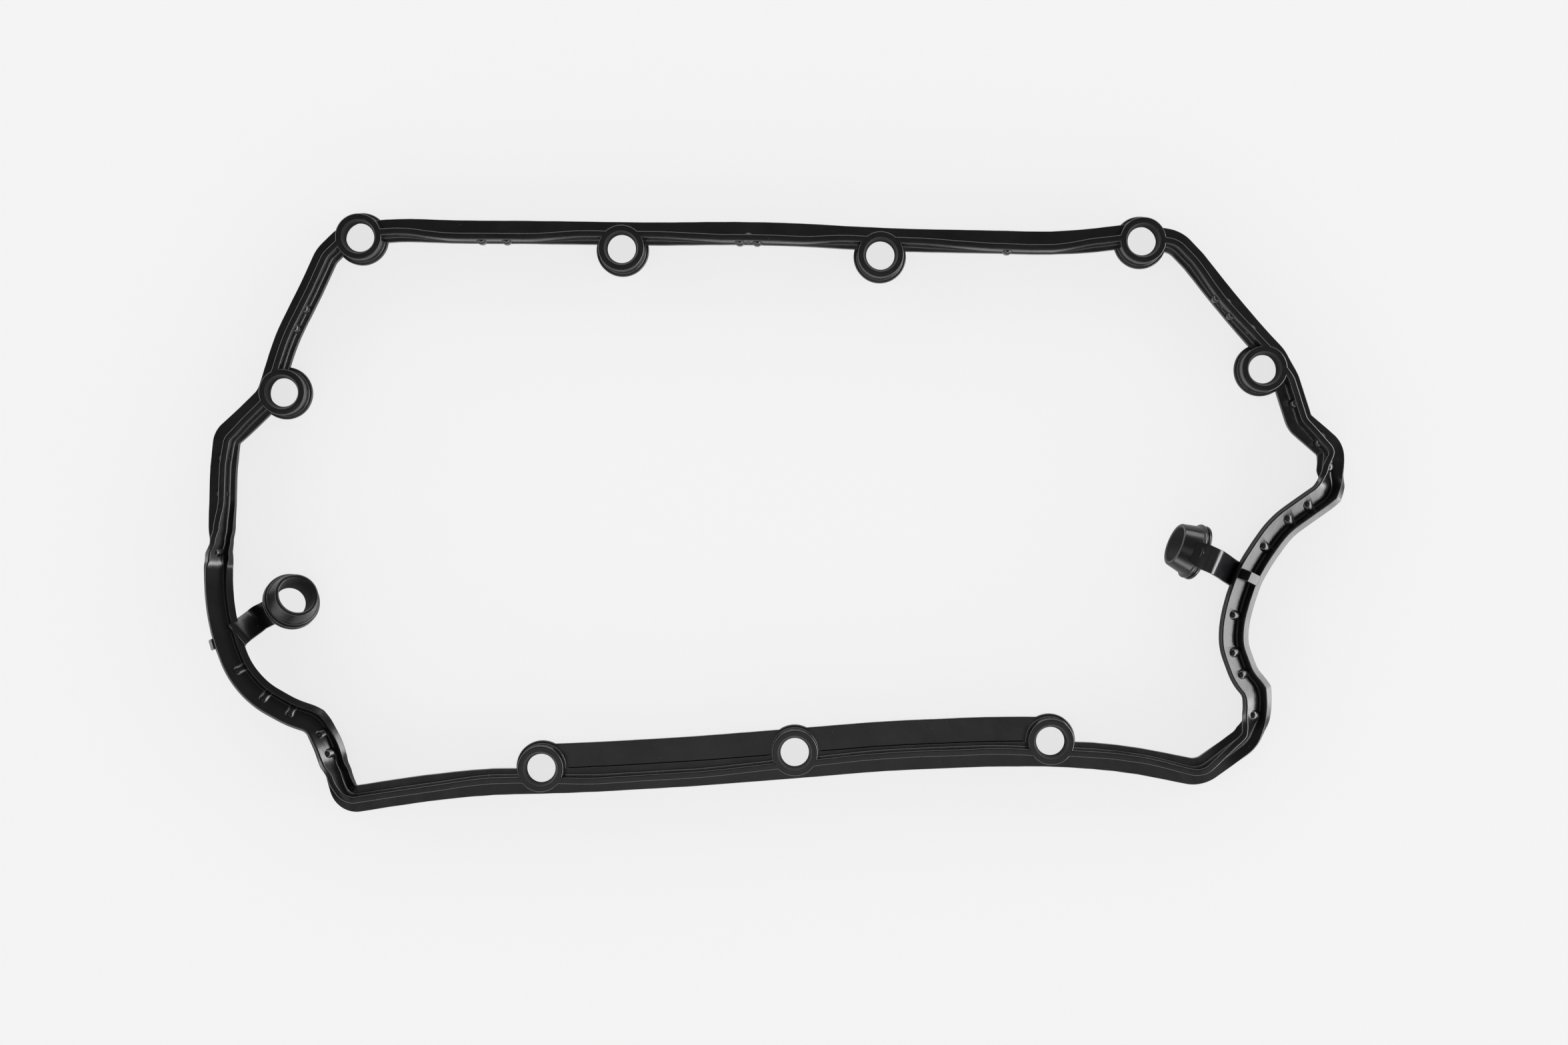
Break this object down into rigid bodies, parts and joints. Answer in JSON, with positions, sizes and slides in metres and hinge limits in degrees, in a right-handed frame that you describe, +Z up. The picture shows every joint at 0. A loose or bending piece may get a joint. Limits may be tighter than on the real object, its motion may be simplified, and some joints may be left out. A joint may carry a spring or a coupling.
{
  "type": "valve cover gasket",
  "caption": "Moulded rubber valve cover gasket: closed loop of T section with bolt eyelets, a flat web, two cam arches, and a strapped tubular seal at each arch.",
  "frame": {"origin": "middle of the footprint, on the surface that the gasket lies on", "axes": "+X along the long side towards the right of the picture, +Y towards the top of the picture, +Z up out of the sealing face towards the camera"},
  "size_m": [0.3816, 0.2012, 0.019],
  "materials": {
    "rubber": "dull moulded black rubber with a soft sheen"
  },
  "bodies": {
    "root": {"gasket": "rubber"}
  },
  "joints": []
}
